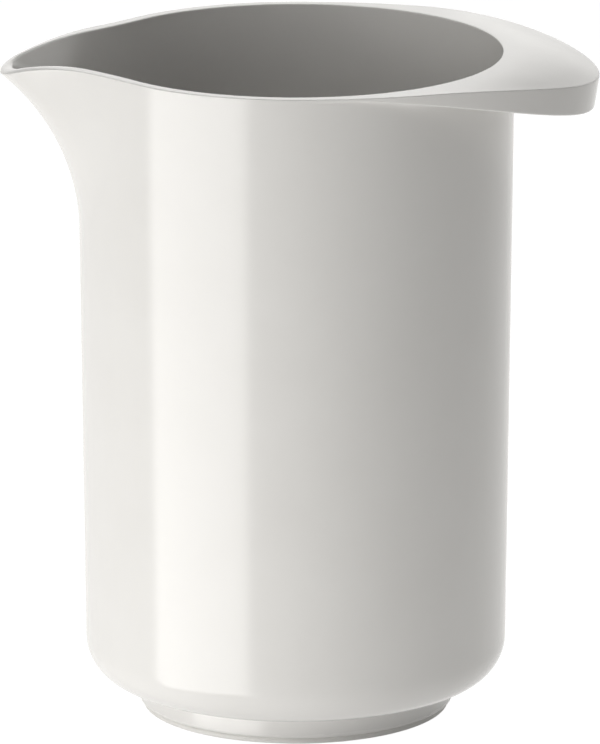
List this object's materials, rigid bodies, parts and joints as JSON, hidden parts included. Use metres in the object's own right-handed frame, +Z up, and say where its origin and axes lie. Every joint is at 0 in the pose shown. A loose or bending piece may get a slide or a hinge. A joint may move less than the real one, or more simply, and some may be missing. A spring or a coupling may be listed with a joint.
{
  "type": "mixing jug",
  "caption": "Melamine mixing jug with a drawn-out pouring spout, a flat wing handle on the rim opposite the spout, and a low foot with a non-slip rubber ring.",
  "frame": {"origin": "on the axis of the round body, at the level of the table the jug stands on", "axes": "+Z up along the body's axis, +X towards the wing handle, -X towards the spout"},
  "size_m": [0.1459, 0.1068, 0.165],
  "materials": {
    "melamine": "gloss, warm off-white",
    "rubber": "satin, pale grey"
  },
  "bodies": {
    "root": {"jug_body": "melamine", "non_slip_ring": "rubber"}
  },
  "joints": []
}
